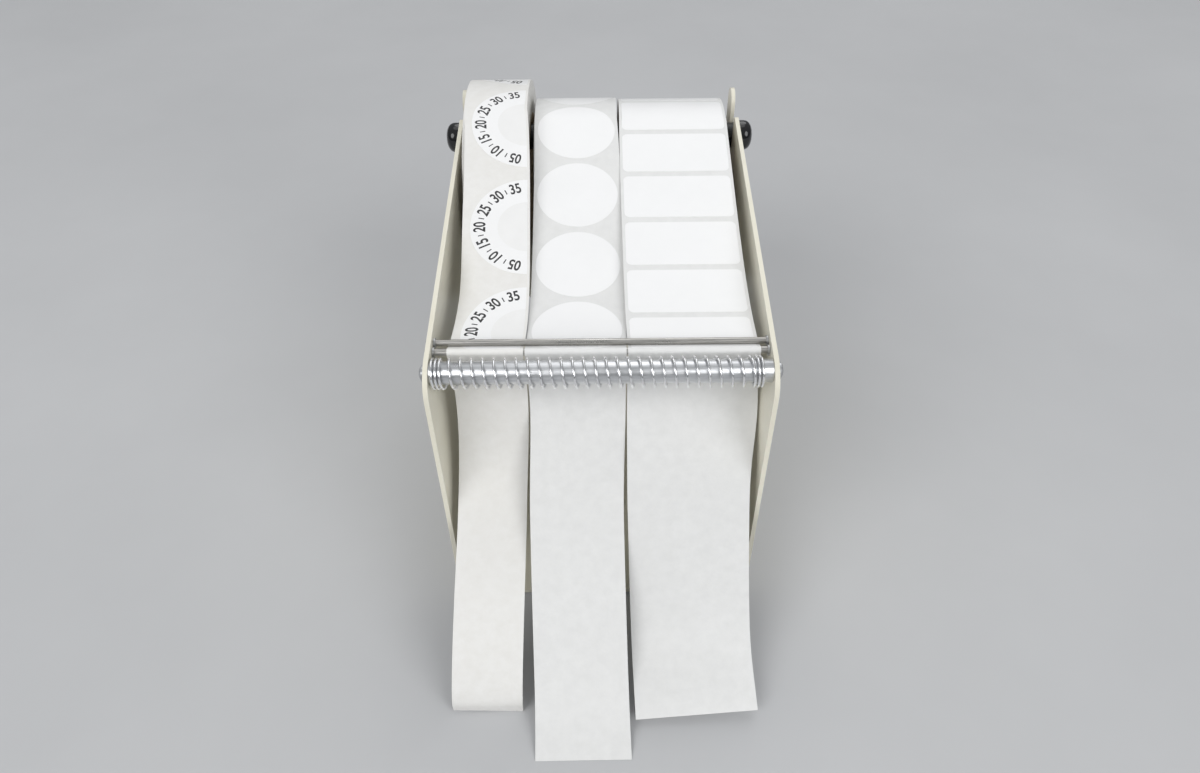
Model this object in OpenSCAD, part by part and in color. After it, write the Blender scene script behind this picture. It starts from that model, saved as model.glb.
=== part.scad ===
// Manual label dispenser for three lanes of die-cut labels.
// A bent sheet frame carries the label rolls on a drop-in axle. Each liner runs under a hold-down rod,
// turns over a peel rod and hangs down behind a bar with a loose spring, so that the labels lift off.
// Millimetres. +X is right, +Y is to the rear, +Z is up. The origin is on the bench, under the middle.

/* [Frame] */
// Thickness of the bent sheet
sheet_t = 2; // [1.2:0.1:2.6]
// Outside radius of the bends between the base and the side plates
bend_r = 3.5; // [3:0.1:6]
// Radius of the rounded nose of the side plates
nose_r = 14; // [12:0.5:18]
// Height of the nose's centre above the base's underside
nose_z = 129; // [110:1:140]
// Depth of the post behind each axle slot
ear_w = 13; // [8:0.5:20]
// Height of that post above the axle's centre
ear_rise = 19.5; // [16:0.5:28]
// Height of the lip in front of each slot above the axle's centre
lip_rise = 14; // [9:0.5:16]
// Rounding of that lip
lip_r = 2; // [0.5:0.25:4]
// Height of the rubber feet
foot_h = 2; // [1:0.5:6]
// Diameter of the rubber feet
foot_d = 12; // [8:0.5:20]
// Room between a foot and the base's edges
foot_margin = 6; // [4:0.5:20]

/* [Roll axle] */
// Diameter of the axle
axle_d = 12.7; // [9:0.1:18]
// Distance of the axle behind the front edge
axle_y = 173.5; // [150:0.5:200]
// Height of the axle's centre above the base's underside
axle_z = 157; // [145:0.5:180]
// Gap between the axle and its slots
axle_clear = 0.1; // [0.05:0.05:0.4]
// Diameter of the knobs on the axle's ends
knob_d = 15; // [13:0.5:24]
// Length of the knobs
knob_l = 8; // [5:0.5:14]
// Solid end of each knob beyond the axle's turned end
knob_cap = 2; // [1:0.25:4]
// Gap between each knob and its plate
knob_gap = 1; // [0.2:0.1:1.5]
// Diameter of the axle's turned ends, inside the knobs
spigot_d = 8; // [5:0.5:8.5]

/* [Bar and spring] */
// Diameter of the bar
bar_d = 9.5; // [7:0.1:12]
// Direction of the bar from the nose's centre, in degrees above the rear
bar_angle = 119; // [100:1:130]
// Diameter of the bar's screws
screw_d = 4; // [3:0.5:5]
// Gap around the screws in the plates
screw_clear = 0.2; // [0.1:0.05:0.4]
// Depth of the screws in the bar
screw_grip = 9; // [5:0.5:20]
// Diameter of the screws' heads
head_d = 7; // [6.5:0.25:9]
// Height of the screws' heads
head_h = 2.2; // [1.5:0.1:4]
// Metal between a screw's head and the nose's edge
head_margin = 1.25; // [0.5:0.25:3]
// Diameter of the spring's wire
wire_d = 1.1; // [0.8:0.05:1.4]
// Play all round between the spring and the bar
spring_play = 0.7; // [0.5:0.05:1.2]
// Gap between the hanging spring and the top of the bar
spring_seat = 0.1; // [0.05:0.05:0.2]
// Turns of the spring's open stretch
open_turns = 28; // [16:1:32]
// Close turns at each of the spring's ends
close_turns = 2.5; // [1:0.5:4]
// Gap between the close turns
close_gap = 0.5; // [0.45:0.05:0.8]
// Gap between the spring and the left plate
spring_gap = 0.3; // [0.2:0.1:2]
// Bare end of the bar at the right plate
bare_bar = 3; // [0.5:0.5:10]

/* [Rods] */
// Diameter of the peel rod
peel_d = 3.2; // [2.6:0.1:5]
// Diameter of the hold-down rod
hold_d = 2.8; // [2.4:0.1:5]
// Room for the liner between the spring and the peel rod
liner_room = 1.9; // [1.2:0.1:4]
// Height of the peel rod above the bar's centre
peel_rise = 2.3; // [0:0.1:4]
// Gap between the two rods
pinch_gap = 1.9; // [1.7:0.1:3]
// Slope of the line from the peel rod to the hold-down rod
pinch_angle = 13; // [5:1:25]
// Gap around each rod in its holes
rod_clear = 0.05; // [0.02:0.01:0.1]
// How far the rods stand out of the plates
rod_proud = 1; // [0.5:0.1:3]
// How far the retaining rings stand out around their rods
ring_wall = 0.7; // [0.4:0.05:0.75]
// Thickness of the retaining rings
ring_t = 0.8; // [0.5:0.05:1.2]
// Depth of the grooves that hold the rings
groove = 0.3; // [0.2:0.05:0.5]
// Gap between the rings and the plates
ring_gap = 0.15; // [0.1:0.05:0.4]

/* [Label stock] */
// Bore of the cardboard cores
core_bore = 76.2; // [70:0.2:80]
// Wall of the cores
core_wall = 3; // [1.5:0.25:5]
// Width of the left stock
left_w = 31; // [20:0.5:60]
// Width of the middle stock
middle_w = 41.3; // [30:0.1:60]
// Width of the right stock
right_w = 53.6; // [40:0.1:80]
// Wound depth of the left stock on its core
left_wound = 16.4; // [4:0.1:24]
// Wound depth of the middle stock on its core
middle_wound = 6.9; // [4:0.1:24]
// Wound depth of the right stock on its core
right_wound = 6.3; // [4:0.1:24]
// Gap between neighbouring stocks
lane_gap = 0.6; // [0.4:0.1:4]
// Room between the left plate and the left stock
left_room = 6; // [3:0.5:12]
// Room between the right stock and the right plate
right_room = 3.9; // [3:0.1:12]
// Share of the room at the left plate that the left roll has strayed into
left_stray = 0.63; // [0:0.01:0.8]
// Stray of the middle roll as a share of the left roll's
middle_stray = 0.4; // [0:0.01:1]
// Stray of the right roll as a share of the middle roll's
right_stray = 0.63; // [0:0.01:1]
// Thickness of the liner
liner_t = 0.3; // [0.2:0.05:0.4]
// Gap between the liner and what it runs over
liner_gap = 0.3; // [0.2:0.05:0.35]
// Sag of the left web between its roll and the rods
left_sag = 7.5; // [0:0.25:10]
// Sag of the middle web
middle_sag = 8.5; // [0:0.25:10]
// Sag of the right web
right_sag = 5; // [0:0.25:10]
// Thickness of a label
label_t = 0.15; // [0.1:0.01:0.2]

/* [Labels] */
// Bare liner to the left of the half-round labels on the left stock
left_label_edge = 3.6; // [1:0.1:6]
// Bare liner to the right of them
left_label_cut = 1.2; // [0.5:0.1:4]
// Gap between two left labels
left_label_gap = 7.5; // [3:0.1:20]
// Distance of the first left label behind the hold-down rod
left_first = 9.3; // [0:0.1:20]
// Diameter of the middle labels
middle_label_d = 38.1; // [20:0.1:39]
// Distance between the middle labels
middle_pitch = 41.3; // [39.5:0.1:60]
// Distance of the first middle label behind the hold-down rod
middle_first = 11.2; // [0:0.1:20]
// Width of the right labels
right_label_w = 50.8; // [30:0.1:52]
// Length of the right labels
right_label_l = 25.4; // [15:0.1:27]
// Corner radius of the right labels
right_label_r = 2.5; // [1:0.25:6]
// Distance between the right labels
right_pitch = 28.6; // [27.5:0.1:50]
// Distance of the first right label behind the hold-down rod
right_first = 4; // [0:0.1:20]

/* [Hidden] */
$fn = 64;
cut = 1;

// Lanes from left to right
LEFT = 0;
MIDDLE = 1;
RIGHT = 2;
lane_w = [left_w, middle_w, right_w];
roll_r = [for (depth = [left_wound, middle_wound, right_wound]) core_bore / 2 + core_wall + depth];
inner_w = left_room + left_w + lane_gap + middle_w + lane_gap + right_w + right_room;
outer_w = inner_w + 2 * sheet_t;
left_x = left_room - inner_w / 2;
lane_x = [left_x, left_x + left_w + lane_gap, left_x + left_w + middle_w + 2 * lane_gap];
stray = left_room * left_stray * [1, middle_stray, middle_stray * right_stray];
web_sag = [left_sag, middle_sag, right_sag];
left_label_r = left_w - left_label_edge - left_label_cut;

// Places in the side view, as [distance behind the front edge, height above the base's underside]
nose = [nose_r, nose_z];
axle = [axle_y, axle_z];
bar = nose + (nose_r - head_d / 2 - head_margin) * dir(bar_angle);
spring_r = bar_d / 2 + spring_play + wire_d / 2;
peel = bar + [spring_r + wire_d / 2 + liner_room + peel_d / 2, peel_rise];
hold = peel + ((peel_d + hold_d) / 2 + pinch_gap) * dir(pinch_angle);
core_seat = 0.1;
roll = axle - [0, core_bore / 2 - axle_d / 2 - core_seat];

// Outline of the side plates
slot_w = axle_d + 2 * axle_clear;
slot_front = axle_y - slot_w / 2;
slot_rear = axle_y + slot_w / 2;
rear = slot_rear + ear_w;
lip = [slot_front, axle_z + lip_rise];
ear_top = axle_z + ear_rise;
brow_angle = heading(lip - nose) + acos(nose_r / norm(lip - nose));
brow = nose + nose_r * dir(brow_angle);
brow_slope = brow_angle - 90;
lip_centre = lip - [lip_r, lip_r * tan(brow_slope) + lip_r / cos(brow_slope)];

// Spring: a helix whose rings are counted in turns from its left end
spring_rings = 12;
wire_sides = 6;
spring_drop = spring_r * cos(180 / spring_rings) - wire_d / 2 - bar_d / 2 - spring_seat;
spring_centre = bar - [0, spring_drop];
spring_l = inner_w - spring_gap - bare_bar;
close_pitch = wire_d + close_gap;
open_pitch = (spring_l - wire_d - 2 * close_turns * close_pitch) / open_turns;
spring_turns = open_turns + 2 * close_turns;

// Tails of the liners below the peel rod: [distance behind the rod, share of the drop to the bench]
leave_angle = 188;
tail_points = [
    [[2.5, 0.21], [-8.5, 0.48], [-50.5, 0.71], [-69, 0.83], [-78.5, 0.93], [-81.5, 1]],
    [[2.5, 0.21], [-15.5, 0.43], [-50.5, 0.71], [-74.5, 0.89], [-88, 0.96], [-103.5, 1]],
    [[2.5, 0.21], [-16.5, 0.42], [-45.5, 0.76], [-60.5, 0.88], [-80.5, 0.94], [-84.5, 0.955]]
];
tail_drift = [-2.7, 2.9, 3.4];
// Steepness at its end of a sag that is 1 at its lowest, two thirds of the way along
sag_slope = 27 / 4;
tail_steps = 5;
web_steps = 40;
arc_steps = 8;
bench_clear = 0.05;
drop = peel[1] + foot_h;
hold_path_r = hold_d / 2 + liner_gap + liner_t / 2;
peel_path_r = peel_d / 2 + liner_gap + liner_t / 2;
pinch_turn = acos((hold_path_r + peel_path_r) / norm(peel - hold));
pinch_dir = heading(peel - hold) + pinch_turn;
label_lift = 0.05;
label_clear = 1;
label_steps = 12;

// The whole stands centred over the origin
tip_y = peel[0] + tail_points[MIDDLE][len(tail_points[MIDDLE]) - 1][0];
mid_y = (tip_y + roll[0] + max(roll_r)) / 2;

function dir(a) = [cos(a), sin(a)];
function heading(v) = atan2(v[1], v[0]);
function unit(v) = v / norm(v);
function mix(a, b, t) = a + (b - a) * t;

// Points of the spring's centre line, with a straight run of one wire diameter at each end
function turn_x(t) = t < close_turns ? t * close_pitch
    : t < close_turns + open_turns ? close_turns * close_pitch + (t - close_turns) * open_pitch
    : close_turns * close_pitch + open_turns * open_pitch + (t - close_turns - open_turns) * close_pitch;
function helix(t) = [turn_x(t), spring_r * cos(360 * t), spring_r * sin(360 * t)];
function helix_way(t) = unit([close_pitch / (360 * spring_r * PI / 180), -sin(360 * t), cos(360 * t)]);
turn_list = [for (i = [0 : spring_turns * spring_rings]) i / spring_rings];
wire_line = [for (t = turn_list) helix(t)];
wire_gaps = [for (i = [0 : len(wire_line) - 1], j = [i + spring_rings / 2 : i + 3 * spring_rings / 2])
    if (j < len(wire_line)) norm(wire_line[i] - wire_line[j]) - wire_d];
echo(str("Least gap between the spring's turns: ", min(wire_gaps), " mm"));

function wire_ring(centre, t) = let (
        out = [0, cos(360 * t), sin(360 * t)],
        side = cross(helix_way(t), out)
    ) [for (k = [0 : wire_sides - 1]) let (a = 360 * k / wire_sides)
        centre + wire_d / 2 * (cos(a) * out + sin(a) * side)];

// Path of a liner from its roll to its tail, in the side view
function web_reach(i) = roll_r[i] + liner_gap + liner_t / 2;
function web_dir(i) = heading(hold - roll)
    - acos((web_reach(i) + hold_path_r) / norm(hold - roll));
function web_l(i) = sqrt(pow(norm(hold - roll), 2) - pow(web_reach(i) + hold_path_r, 2));
function web_rise(i) = atan(sag_slope * web_sag[i] / web_l(i));
function web_start(i) = roll + web_reach(i) * dir(web_dir(i));
function web_end(i) = hold - hold_path_r * dir(web_dir(i) - web_rise(i));
function web_shift(i, u) = stray[i] * (min(u, 1) - 1);
function web(i, u) = mix(web_start(i), web_end(i), u) - [0, web_sag[i] * sag_slope * u * u * (1 - u)];
function arc(c, r, a, b) = [for (k = [1 : arc_steps]) c + r * dir(mix(a, b, k / arc_steps))];
function tail_knots(i) = let (first = peel + peel_path_r * dir(leave_angle),
        rest = [for (p = tail_points[i]) [peel[0] + p[0], peel[1] - p[1] * drop]],
        last = rest[len(rest) - 1])
    concat([2 * first - rest[0], first], rest, [2 * last - rest[len(rest) - 2]]);
function spline(a, b, c, d, t) = b + (c - a) * t / 2 + (2 * a - 5 * b + 4 * c - d) * t * t / 2
    + (3 * b - a - 3 * c + d) * t * t * t / 2;
function above_bench(p) = [p[0], max(p[1], liner_t / 2 + bench_clear - foot_h)];
function tail(i) = let (k = tail_knots(i)) [for (j = [1 : len(k) - 3], s = [1 : tail_steps])
    above_bench(spline(k[j - 1], k[j], k[j + 1], k[j + 2], s / tail_steps))];
function liner_path(i) = concat([for (s = [0 : web_steps]) web(i, s / web_steps)],
    arc(hold, hold_path_r, web_dir(i) - web_rise(i) - 180, pinch_dir),
    arc(peel, peel_path_r, pinch_dir + 180, leave_angle), tail(i));
function normal_at(path, k) = let (v = path[min(k + 1, len(path) - 1)] - path[max(k - 1, 0)])
    unit([v[1], -v[0]]);

// A flat ring of a strip, from x0 to x1, with its lower and upper side along the normal n
function strip_ring(x0, x1, p, n, low, high) = let (a = p + low * n, b = p + high * n)
    [[x0, a[0], a[1]], [x1, a[0], a[1]], [x1, b[0], b[1]], [x0, b[0], b[1]]];
function sort_clip(list, lo, hi) = concat(list[0] <= lo ? [lo] : [], [for (s = list) if (s > lo && s < hi) s],
    list[len(list) - 1] >= hi ? [hi] : []);

module place() {
    translate([0, -mid_y, foot_h]) children();
}

module rod_x(d, x0, x1, at) {
    translate([x0, at[0], at[1]]) rotate([0, 90, 0]) cylinder(d = d, h = x1 - x0);
}

// A closed skin of triangles over rings of equal count
module loft(rings) {
    n = len(rings[0]);
    last = len(rings) - 1;
    polyhedron(
        points = [for (ring = rings, p = ring) p],
        faces = concat(
            [for (j = [1 : n - 2]) [0, j, j + 1]],
            [for (j = [1 : n - 2]) [last * n, last * n + j + 1, last * n + j]],
            [for (i = [0 : last - 1], j = [0 : n - 1], half = [0, 1])
                let (a = i * n + j, b = i * n + (j + 1) % n) half == 0 ? [a, a + n, b + n] : [a, b + n, b]]
        )
    );
}

// Front view of the bent sheet
module trough(w, h, r) {
    translate([-w / 2, r]) square([w, h - r]);
    translate([r - w / 2, 0]) square([w - 2 * r, h]);
    for (side = [-1, 1]) translate([side * (w / 2 - r), r]) circle(r);
}

// The side view of the plates, drawn right across the frame
module plates_blank() {
    half_w = outer_w / 2;
    difference() {
        union() {
            rotate([90, 0, 90]) translate([0, 0, -half_w]) linear_extrude(outer_w)
                polygon([[0, 0], [0, nose_z], nose, brow, lip_centre + lip_r * dir(brow_angle), lip_centre,
                    lip_centre + [lip_r, 0], [slot_front, axle_z], [slot_rear, axle_z],
                    [slot_rear, ear_top - ear_w / 2], [rear, ear_top - ear_w / 2], [rear, 0]]);
            rod_x(2 * nose_r, -half_w, half_w, nose);
            rod_x(2 * lip_r, -half_w, half_w, lip_centre);
            rod_x(ear_w, -half_w, half_w, [rear - ear_w / 2, ear_top - ear_w / 2]);
        }
        rod_x(slot_w, -half_w - cut, half_w + cut, axle);
    }
}

module frame() {
    color("ivory") place() difference() {
        intersection() {
            plates_blank();
            translate([0, rear, 0]) rotate([90, 0, 0]) linear_extrude(rear) difference() {
                trough(outer_w, ear_top + cut, bend_r);
                translate([0, sheet_t]) trough(inner_w, ear_top + 2 * cut, bend_r - sheet_t);
            }
        }
        rod_x(peel_d + 2 * rod_clear, -outer_w / 2 - cut, outer_w / 2 + cut, peel);
        rod_x(hold_d + 2 * rod_clear, -outer_w / 2 - cut, outer_w / 2 + cut, hold);
        rod_x(screw_d + 2 * screw_clear, -outer_w / 2 - cut, outer_w / 2 + cut, bar);
    }
}

module rubber_feet() {
    side = outer_w / 2 - foot_margin - foot_d / 2;
    front = foot_margin + foot_d / 2;
    chamfer = foot_h / 4;
    color("dimgray") place() for (x = [-side, side], y = [front, rear - front])
        translate([x, y, -foot_h]) {
            cylinder(d1 = foot_d - 2 * chamfer, d2 = foot_d, h = chamfer);
            translate([0, 0, chamfer]) cylinder(d = foot_d, h = foot_h - chamfer);
        }
}

module spring_bar() {
    color("silver") place() difference() {
        rod_x(bar_d, -inner_w / 2, inner_w / 2, bar);
        for (side = [0, 1]) mirror([side, 0, 0])
            rod_x(screw_d, inner_w / 2 - screw_grip - cut, inner_w / 2 + cut, bar);
    }
}

module bar_spring() {
    ends = [0, spring_turns];
    rings = concat(
        [wire_ring(helix(ends[0]) - wire_d * helix_way(ends[0]), ends[0])],
        [for (t = turn_list) wire_ring(helix(t), t)],
        [wire_ring(helix(ends[1]) + wire_d * helix_way(ends[1]), ends[1])]
    );
    color("lightgray") place()
        translate([spring_gap + wire_d / 2 - inner_w / 2, spring_centre[0], spring_centre[1]]) loft(rings);
}

// A pan-head screw with a cross recess, seen at the right plate
module bar_screw() {
    dome_r = head_d * 0.8;
    recess_w = head_d / 8;
    recess_l = head_d / 2;
    rod_x(screw_d, inner_w / 2 - screw_grip, outer_w / 2, bar);
    translate([outer_w / 2, bar[0], bar[1]]) rotate([0, 90, 0]) difference() {
        intersection() {
            cylinder(d = head_d, h = head_h);
            translate([0, 0, head_h - dome_r]) sphere(dome_r);
        }
        for (a = [0, 90]) rotate(a)
            translate([-recess_l / 2, -recess_w / 2, head_h / 2]) cube([recess_l, recess_w, head_h]);
    }
}

module left_bar_screw() {
    color("gray") place() mirror([1, 0, 0]) bar_screw();
}

module right_bar_screw() {
    color("gray") place() bar_screw();
}

// A steel rod across both plates with a groove for a ring just inside each plate
module cross_rod(d, at) {
    r = d / 2;
    end = outer_w / 2 + rod_proud;
    chamfer = rod_proud / 3;
    groove_end = inner_w / 2 - ring_gap;
    groove_start = groove_end - ring_t;
    half = [[0, end], [r - chamfer, end], [r, end - chamfer], [r, groove_end], [r - groove, groove_end],
        [r - groove, groove_start], [r, groove_start]];
    other_half = [for (k = [len(half) - 1 : -1 : 0]) [half[k][0], -half[k][1]]];
    translate([0, at[0], at[1]]) rotate([0, 90, 0]) rotate_extrude() polygon(concat(half, other_half));
}

// The two open rings in these grooves
module cross_rings(d, at) {
    mouth = d / 2;
    for (side = [0, 1]) mirror([side, 0, 0]) difference() {
        rod_x(d + 2 * ring_wall, inner_w / 2 - ring_gap - ring_t, inner_w / 2 - ring_gap, at);
        rod_x(d - 2 * groove, 0, outer_w / 2, at);
        translate([0, at[0], at[1] - mouth / 2]) cube([outer_w, d, mouth]);
    }
}

module hold_down_rod() {
    color("lightsteelblue") place() cross_rod(hold_d, hold);
}

module hold_down_rings() {
    color("darkgray") place() cross_rings(hold_d, hold);
}

module peel_rod() {
    color("lightsteelblue") place() cross_rod(peel_d, peel);
}

module peel_rings() {
    color("darkgray") place() cross_rings(peel_d, peel);
}

module roll_axle() {
    shoulder = outer_w / 2 + knob_gap;
    spigot = shoulder + knob_l - knob_cap;
    color("#1c1c1e") place() {
        rod_x(axle_d, -shoulder, shoulder, axle);
        rod_x(spigot_d, -spigot, spigot, axle);
    }
}

// A domed knob with a blind bore, seen at the right plate
module knob() {
    dome_r = knob_d * 0.62;
    foot = outer_w / 2 + knob_gap;
    difference() {
        translate([foot, axle[0], axle[1]]) rotate([0, 90, 0]) intersection() {
            cylinder(d = knob_d, h = knob_l);
            translate([0, 0, knob_l - dome_r]) sphere(dome_r);
        }
        rod_x(spigot_d, foot - cut, foot + knob_l - knob_cap, axle);
    }
}

module left_knob() {
    color("#101012") place() mirror([1, 0, 0]) knob();
}

module right_knob() {
    color("#101012") place() knob();
}

module tube_in_lane(i, outer_r, inner_r) {
    start = lane_x[i] - stray[i];
    difference() {
        rod_x(2 * outer_r, start, start + lane_w[i], roll);
        rod_x(2 * inner_r, start - cut, start + lane_w[i] + cut, roll);
    }
}

module core(i) {
    color("burlywood") place() tube_in_lane(i, core_bore / 2 + core_wall, core_bore / 2);
}

module wound_stock(i) {
    color("whitesmoke") place() tube_in_lane(i, roll_r[i], core_bore / 2 + core_wall);
}

module liner(i) {
    path = liner_path(i);
    from = len(path) - len(tail(i));
    rings = [for (k = [0 : len(path) - 1]) let (
            t = max(0, k - from) / (len(path) - 1 - from),
            x = lane_x[i] + web_shift(i, k / web_steps) + tail_drift[i] * t * t
        ) strip_ring(x, x + lane_w[i], path[k], normal_at(path, k), -liner_t / 2, liner_t / 2)];
    color("white") place() loft(rings);
}

// A label on the web. Its edges lie at left(s) and right(s), s being the distance behind its centre.
module label(i, centre, marks, left, right) {
    l = web_l(i);
    low = liner_t / 2 + label_lift;
    behind = sort_clip([for (m = marks) centre + m], hold_path_r + label_clear, l - label_clear);
    rings = [for (s = behind) let (
            u = 1 - s / l,
            way = web(i, u - 0.01) - web(i, u + 0.01),
            n = unit([-way[1], way[0]]),
            shift = web_shift(i, u)
        ) strip_ring(left(s - centre) + shift, right(s - centre) + shift, web(i, u), n, low, low + label_t)];
    if (len(rings) > 2) color("snow") place() loft(rings);
}

function round_marks(r) = [for (k = [0.5 : label_steps - 0.5]) -r * cos(180 * k / label_steps)];
function half_chord(r, s) = sqrt(max(0, r * r - s * s));
function corner_inset(s) = let (over = abs(s) - right_label_l / 2 + right_label_r)
    over > 0 ? right_label_r - half_chord(right_label_r, over) : 0;

module left_labels() {
    edge = lane_x[LEFT] + left_w - left_label_cut;
    for (s = [left_first : 2 * left_label_r + left_label_gap : web_l(LEFT) + left_label_r / 2])
        label(LEFT, s, round_marks(left_label_r), function (d) edge - half_chord(left_label_r, d),
            function (d) edge);
}

module middle_labels() {
    r = middle_label_d / 2;
    x = lane_x[MIDDLE] + middle_w / 2;
    for (s = [middle_first : middle_pitch : web_l(MIDDLE) + r / 2])
        label(MIDDLE, s, round_marks(r), function (d) x - half_chord(r, d),
            function (d) x + half_chord(r, d));
}

module right_labels() {
    x = lane_x[RIGHT] + right_w / 2;
    inner = right_label_l / 2 - right_label_r;
    ends = [for (a = [0 : 30 : 90]) inner + right_label_r * sin(a)];
    marks = concat([for (k = [len(ends) - 1 : -1 : 0]) -ends[k]], [-inner / 2, 0, inner / 2], ends);
    for (s = [right_first : right_pitch : web_l(RIGHT) + right_label_l / 4])
        label(RIGHT, s, marks, function (d) x - right_label_w / 2 + corner_inset(d),
            function (d) x + right_label_w / 2 - corner_inset(d));
}

frame();
rubber_feet();
spring_bar();
bar_spring();
left_bar_screw();
right_bar_screw();
hold_down_rod();
hold_down_rings();
peel_rod();
peel_rings();
roll_axle();
left_knob();
right_knob();
core(LEFT);  // left_core
core(MIDDLE);  // middle_core
core(RIGHT);  // right_core
wound_stock(LEFT);  // left_roll
wound_stock(MIDDLE);  // middle_roll
wound_stock(RIGHT);  // right_roll
liner(LEFT);  // left_liner
liner(MIDDLE);  // middle_liner
liner(RIGHT);  // right_liner
left_labels();
middle_labels();
right_labels();
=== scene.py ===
# A bench-top dispenser for three lanes of die-cut labels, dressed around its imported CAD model, in metres.
# The sections follow the assembly: frame, feet, bar, spring, rods, axle, cores, rolls, liners, labels and
# print, and then the stage.
import bisect
import math
import random

import bmesh
import bpy
from mathutils import Matrix, Vector


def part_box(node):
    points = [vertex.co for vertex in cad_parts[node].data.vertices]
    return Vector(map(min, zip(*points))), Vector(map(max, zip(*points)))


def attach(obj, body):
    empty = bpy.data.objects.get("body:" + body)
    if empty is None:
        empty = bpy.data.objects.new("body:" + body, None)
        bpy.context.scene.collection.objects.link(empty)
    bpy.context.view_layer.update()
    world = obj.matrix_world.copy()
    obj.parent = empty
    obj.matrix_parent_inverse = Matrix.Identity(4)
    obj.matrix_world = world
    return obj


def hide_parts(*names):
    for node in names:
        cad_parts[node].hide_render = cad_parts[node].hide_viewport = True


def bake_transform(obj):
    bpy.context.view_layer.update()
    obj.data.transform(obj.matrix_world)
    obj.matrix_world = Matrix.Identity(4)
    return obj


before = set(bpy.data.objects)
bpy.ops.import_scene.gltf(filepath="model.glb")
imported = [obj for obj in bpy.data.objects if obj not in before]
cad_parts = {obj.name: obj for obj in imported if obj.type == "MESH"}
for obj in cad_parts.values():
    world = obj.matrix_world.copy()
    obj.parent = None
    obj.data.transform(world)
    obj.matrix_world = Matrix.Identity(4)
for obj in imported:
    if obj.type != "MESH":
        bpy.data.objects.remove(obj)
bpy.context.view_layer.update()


# Frame: one steel sheet, punched, folded up along both sides of its base and coated in cream enamel.
# Each side plate has a round nose in front, a sloping brow, and an open slot with a taller post behind it.
SHEET = 0.002
FOLD_R = 0.0035
NOSE_R = 0.014
NOSE_RISE = 0.129
POST_W = 0.013
LIP_RISE = 0.014
LIP_R = 0.002
SLOT_PLAY = 0.0001
HOLE_PLAY = 0.00005
SCREW_HOLE_R = 0.0022
SHEET_EDGE, EDGE_ANGLE = 0.00035, 50
FOLD_STEPS, NOSE_STEPS, LIP_STEPS, ROUND_STEPS, HOLE_SIDES = 8, 14, 8, 20, 28
CREAM = (0.835, 0.805, 0.685, 1)
CREAM_SHADE = (0.795, 0.76, 0.63, 1)
CREAM_RUBBED = (0.88, 0.86, 0.77, 1)


def middle(node):
    low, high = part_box(node)
    return (low + high) / 2


def half_height(node):
    low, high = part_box(node)
    return (high.z - low.z) / 2


def ray(degrees):
    return Vector((math.cos(math.radians(degrees)), math.sin(math.radians(degrees))))


def heading(way):
    return math.degrees(math.atan2(way.y, way.x))


def side(point):
    """A place in the side view: distance to the rear and height."""
    return Vector((point.y, point.z))


def add(tree, kind, inputs=None, **settings):
    made = tree.nodes.new("ShaderNode" + kind)
    for name, value in settings.items():
        setattr(made, name, value)
    for key, value in (inputs or {}).items():
        if isinstance(value, bpy.types.NodeSocket):
            tree.links.new(value, made.inputs[key])
        else:
            made.inputs[key].default_value = value
    return made


def mixed(tree, share, first, second):
    return add(tree, "Mix", {0: share, 6: first, 7: second}, data_type="RGBA").outputs[2]


def ranged(tree, value, low, high, start=0.0, end=1.0):
    return add(tree, "MapRange", {0: value, 1: start, 2: end, 3: low, 4: high}).outputs[0]


def finish(name, **plain):
    """A new material, its node tree and its shader, with the values that are the same all over."""
    material = bpy.data.materials.new(name)
    material.use_nodes = True
    shader = material.node_tree.nodes["Principled BSDF"]
    for socket, value in plain.items():
        shader.inputs[socket.replace("_", " ")].default_value = value
    return material, material.node_tree, shader


def join(tree, shader, **sockets):
    for name, socket in sockets.items():
        tree.links.new(socket, shader.inputs[name.replace("_", " ")])


def effect(name, inputs, output):
    """A node group that several finishes share, with number inputs and one number output."""
    tree = bpy.data.node_groups.new(name, "ShaderNodeTree")
    for socket, value in inputs.items():
        made = tree.interface.new_socket(name=socket, in_out="INPUT", socket_type="NodeSocketFloat")
        made.default_value = value
    tree.interface.new_socket(name=output, in_out="OUTPUT", socket_type="NodeSocketFloat")
    return tree, tree.nodes.new("NodeGroupInput"), tree.nodes.new("NodeGroupOutput")


def use(tree, shared, **values):
    made = add(tree, "Group", node_tree=shared)
    for name, value in values.items():
        made.inputs[name].default_value = value
    return made.outputs[0]


# Soft clouds of shade, fine grain, streaks along the object's width, and rubbed edges
clouds, given, out = effect("clouds", {"Scale": 30.0}, "Cloud")
spots = add(clouds, "TexNoise", {"Vector": add(clouds, "TexCoord").outputs["Object"],
                                 "Scale": given.outputs["Scale"], "Detail": 5.0, "Roughness": 0.62})
clouds.links.new(ranged(clouds, spots.outputs[0], 0.0, 1.0, 0.32, 0.68), out.inputs[0])

grain, given, out = effect("grain", {"Scale": 1500.0}, "Height")
specks = add(grain, "TexNoise", {"Vector": add(grain, "TexCoord").outputs["Object"],
                                 "Scale": given.outputs["Scale"], "Detail": 2.0, "Roughness": 0.5})
grain.links.new(specks.outputs[0], out.inputs[0])

streaks, given, out = effect("streaks", {"Scale": 900.0}, "Streak")
along = add(streaks, "Mapping", {"Vector": add(streaks, "TexCoord").outputs["Object"],
                                 "Scale": (0.03, 1, 1)})
lines = add(streaks, "TexNoise", {"Vector": along.outputs[0], "Scale": given.outputs["Scale"],
                                  "Detail": 4.0, "Roughness": 0.6})
streaks.links.new(ranged(streaks, lines.outputs[0], 0.0, 1.0, 0.3, 0.7), out.inputs[0])

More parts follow.
